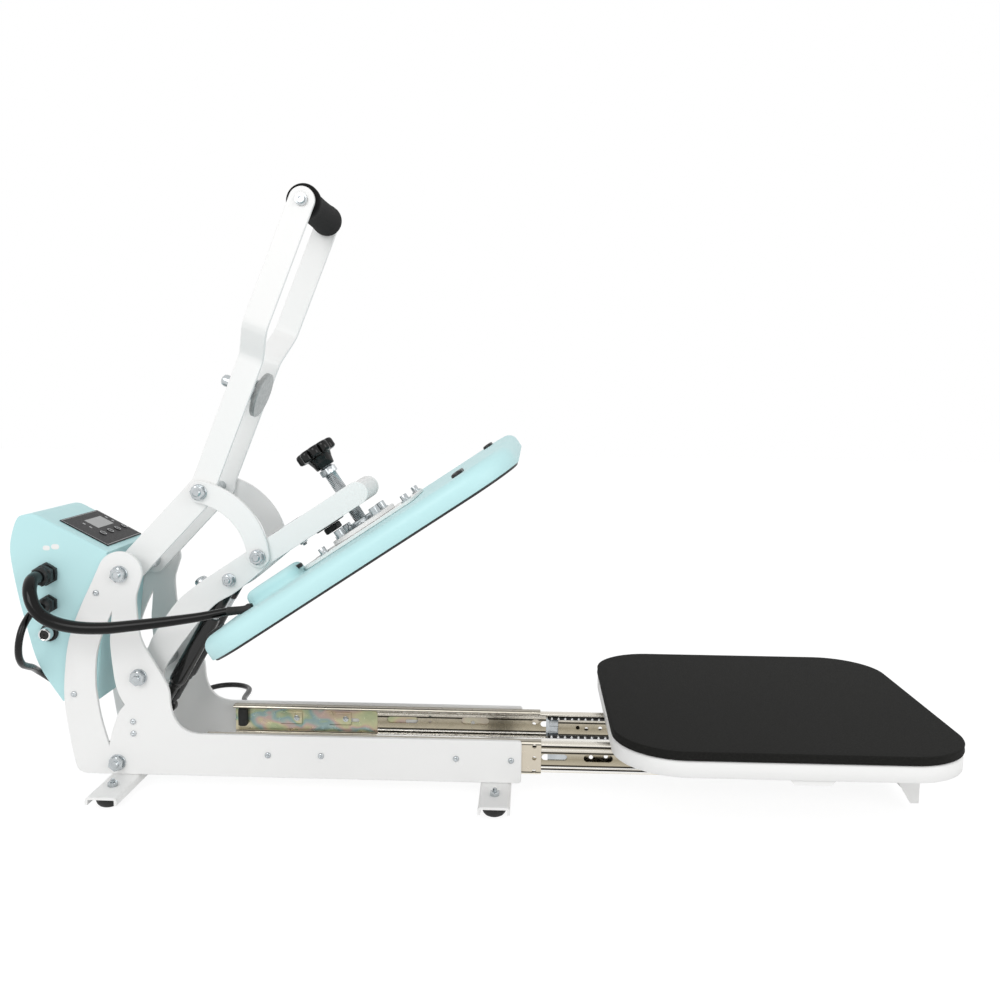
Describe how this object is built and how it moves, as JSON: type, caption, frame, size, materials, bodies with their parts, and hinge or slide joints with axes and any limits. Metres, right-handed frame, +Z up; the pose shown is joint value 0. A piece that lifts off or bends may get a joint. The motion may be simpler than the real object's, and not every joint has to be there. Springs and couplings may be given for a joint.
{
  "type": "slide-out heat press",
  "caption": "Semi-automatic heat press: a heated platen raised on a hinged arm by a toggle lever and gas springs, over a padded tray that slides out on rails.",
  "frame": {"origin": "on the table, under the middle of the machine's bounding box, cord left out", "axes": "+X the way the tray slides out, +Y to the machine's far side, +Z up"},
  "size_m": [1.0786, 0.5348, 0.6978],
  "materials": {
    "powder_white": "smooth white powder coat",
    "powder_mint": "satin pale mint powder coat",
    "zinc_steel": "bright zinc plated steel",
    "yellow_zinc_steel": "zinc plated steel with a yellow tint",
    "black_rubber": "moulded black rubber",
    "silicone_foam": "dark foamed silicone, matt",
    "coated_aluminium": "dark non-stick coating on cast aluminium",
    "black_paint": "satin black paint and sleeving on steel",
    "panel_grey": "matt dark grey panel film",
    "black_plastic": "moulded black plastic",
    "black_cable": "smooth black cable sheath"
  },
  "bodies": {
    "frame": {"near_side_plate": "powder_white", "far_side_plate": "powder_white", "front_foot_channel": "powder_white", "rear_foot_channel": "powder_white", "rubber_foot_front_near": "black_rubber", "rubber_foot_front_far": "black_rubber", "rubber_foot_rear_near": "black_rubber", "rubber_foot_rear_far": "black_rubber", "rear_tie_bolt": "zinc_steel", "arm_pivot_bolt": "zinc_steel", "lever_pivot_bolt": "zinc_steel", "spring_foot_bracket": "powder_white", "control_box_shell": "powder_mint", "control_box_cover": "powder_mint", "control_panel": "panel_grey", "lead_gland": "black_plastic", "power_gland": "black_plastic", "fuse_holder": "black_plastic", "near_slide_fixed": "yellow_zinc_steel", "far_slide_fixed": "yellow_zinc_steel", "platen_lead": "black_cable", "power_cord": "black_cable", "cord_coil": "black_cable", "power_plug": "black_plastic"},
    "arm": {"near_arm_plate": "powder_white", "far_arm_plate": "powder_white", "arm_nut_block": "powder_white", "electromagnet": "zinc_steel", "link_pivot_bolt": "zinc_steel", "spring_top_bolt": "zinc_steel"},
    "platen": {"heat_plate": "coated_aluminium", "platen_cover": "powder_mint", "platen_saddle": "powder_white", "thrust_collar": "powder_white", "lead_strain_relief": "black_plastic"},
    "pressure_screw": {"pressure_screw": "zinc_steel", "pressure_knob": "black_plastic"},
    "lever": {"near_lever_bar": "powder_white", "far_lever_bar": "powder_white", "lever_spacer": "zinc_steel", "grip_rod": "zinc_steel", "foam_grip": "silicone_foam", "armature": "zinc_steel"},
    "links": {"near_arc_link": "powder_white", "far_arc_link": "powder_white"},
    "spring_cylinders": {"near_spring_cylinder": "black_paint", "far_spring_cylinder": "black_paint"},
    "spring_rods": {"near_spring_rod": "black_paint", "far_spring_rod": "black_paint"},
    "slide_middles": {"near_slide_middle": "zinc_steel", "far_slide_middle": "zinc_steel"},
    "tray": {"near_slide_inner": "zinc_steel", "far_slide_inner": "zinc_steel", "tray_pan": "powder_white", "tray_pad": "silicone_foam", "tray_carrier": "powder_white"},
    "button_1": {"button_1": "panel_grey"},
    "button_2": {"button_2": "panel_grey"},
    "button_3": {"button_3": "panel_grey"},
    "button_4": {"button_4": "panel_grey"}
  },
  "joints": [
    {"name": "arm_swing", "type": "hinge", "parent": "frame", "child": "arm", "pos_m": [-0.3892, 0, 0.1367], "axis": [0, 1, 0], "range_deg": [0, 33.8], "stiffness_Nm_per_rad": 30, "springref_deg": -85.94, "deforming": ["platen_lead"]},
    {"name": "lever_swing", "type": "hinge", "parent": "frame", "child": "lever", "pos_m": [-0.4084, 0, 0.2589], "axis": [0, 1, 0], "range_deg": [0, 68.41]},
    {"name": "link_swing", "type": "hinge", "parent": "arm", "child": "links", "pos_m": [-0.25157, 0, 0.27841], "axis": [0, 1, 0], "range_deg": [-61.81, 0]},
    {"name": "spring_tilt", "type": "hinge", "parent": "arm", "child": "spring_cylinders", "pos_m": [-0.2878, 0, 0.24947], "axis": [0, 1, 0], "range_deg": [-7.71, 0]},
    {"name": "spring_stroke", "type": "slide", "parent": "spring_cylinders", "child": "spring_rods", "axis": [0.4897, 0, 0.8719], "range_m": [0, 0.0257]},
    {"name": "platen_lift", "type": "slide", "parent": "arm", "child": "platen", "axis": [-0.5563, 0, 0.831], "range_m": [0, 0.004]},
    {"name": "pressure_turn", "type": "hinge", "parent": "platen", "child": "pressure_screw", "pos_m": [-0.13201, 0, 0.30887], "axis": [-0.5563, 0, 0.831], "range_deg": [0, 720]},
    {"name": "tray_slide", "type": "slide", "parent": "frame", "child": "tray", "axis": [1, 0, 0], "range_m": [-0.42, 0]},
    {"name": "slide_follow", "type": "slide", "parent": "frame", "child": "slide_middles", "axis": [1, 0, 0], "range_m": [-0.18601, 0]},
    {"name": "button_1_press", "type": "slide", "parent": "frame", "child": "button_1", "axis": [-0.4594, 0, -0.8882], "range_m": [0, 0.001], "stiffness_N_per_m": 1500},
    {"name": "button_2_press", "type": "slide", "parent": "frame", "child": "button_2", "axis": [-0.4594, 0, -0.8882], "range_m": [0, 0.001], "stiffness_N_per_m": 1500},
    {"name": "button_3_press", "type": "slide", "parent": "frame", "child": "button_3", "axis": [-0.4594, 0, -0.8882], "range_m": [0, 0.001], "stiffness_N_per_m": 1500},
    {"name": "button_4_press", "type": "slide", "parent": "frame", "child": "button_4", "axis": [-0.4594, 0, -0.8882], "range_m": [0, 0.001], "stiffness_N_per_m": 1500}
  ],
  "couplings": [
    {"joint": "lever_swing", "follows": "arm_swing", "ratio": 2.0237},
    {"joint": "link_swing", "follows": "arm_swing", "ratio": -1.8285},
    {"joint": "spring_tilt", "follows": "arm_swing", "ratio": -0.228},
    {"joint": "spring_stroke", "follows": "arm_swing", "m_per_rad": 0.04355},
    {"joint": "pressure_turn", "follows": "platen_lift", "rad_per_m": 3141.6},
    {"joint": "slide_follow", "follows": "tray_slide", "ratio": 0.44286}
  ]
}
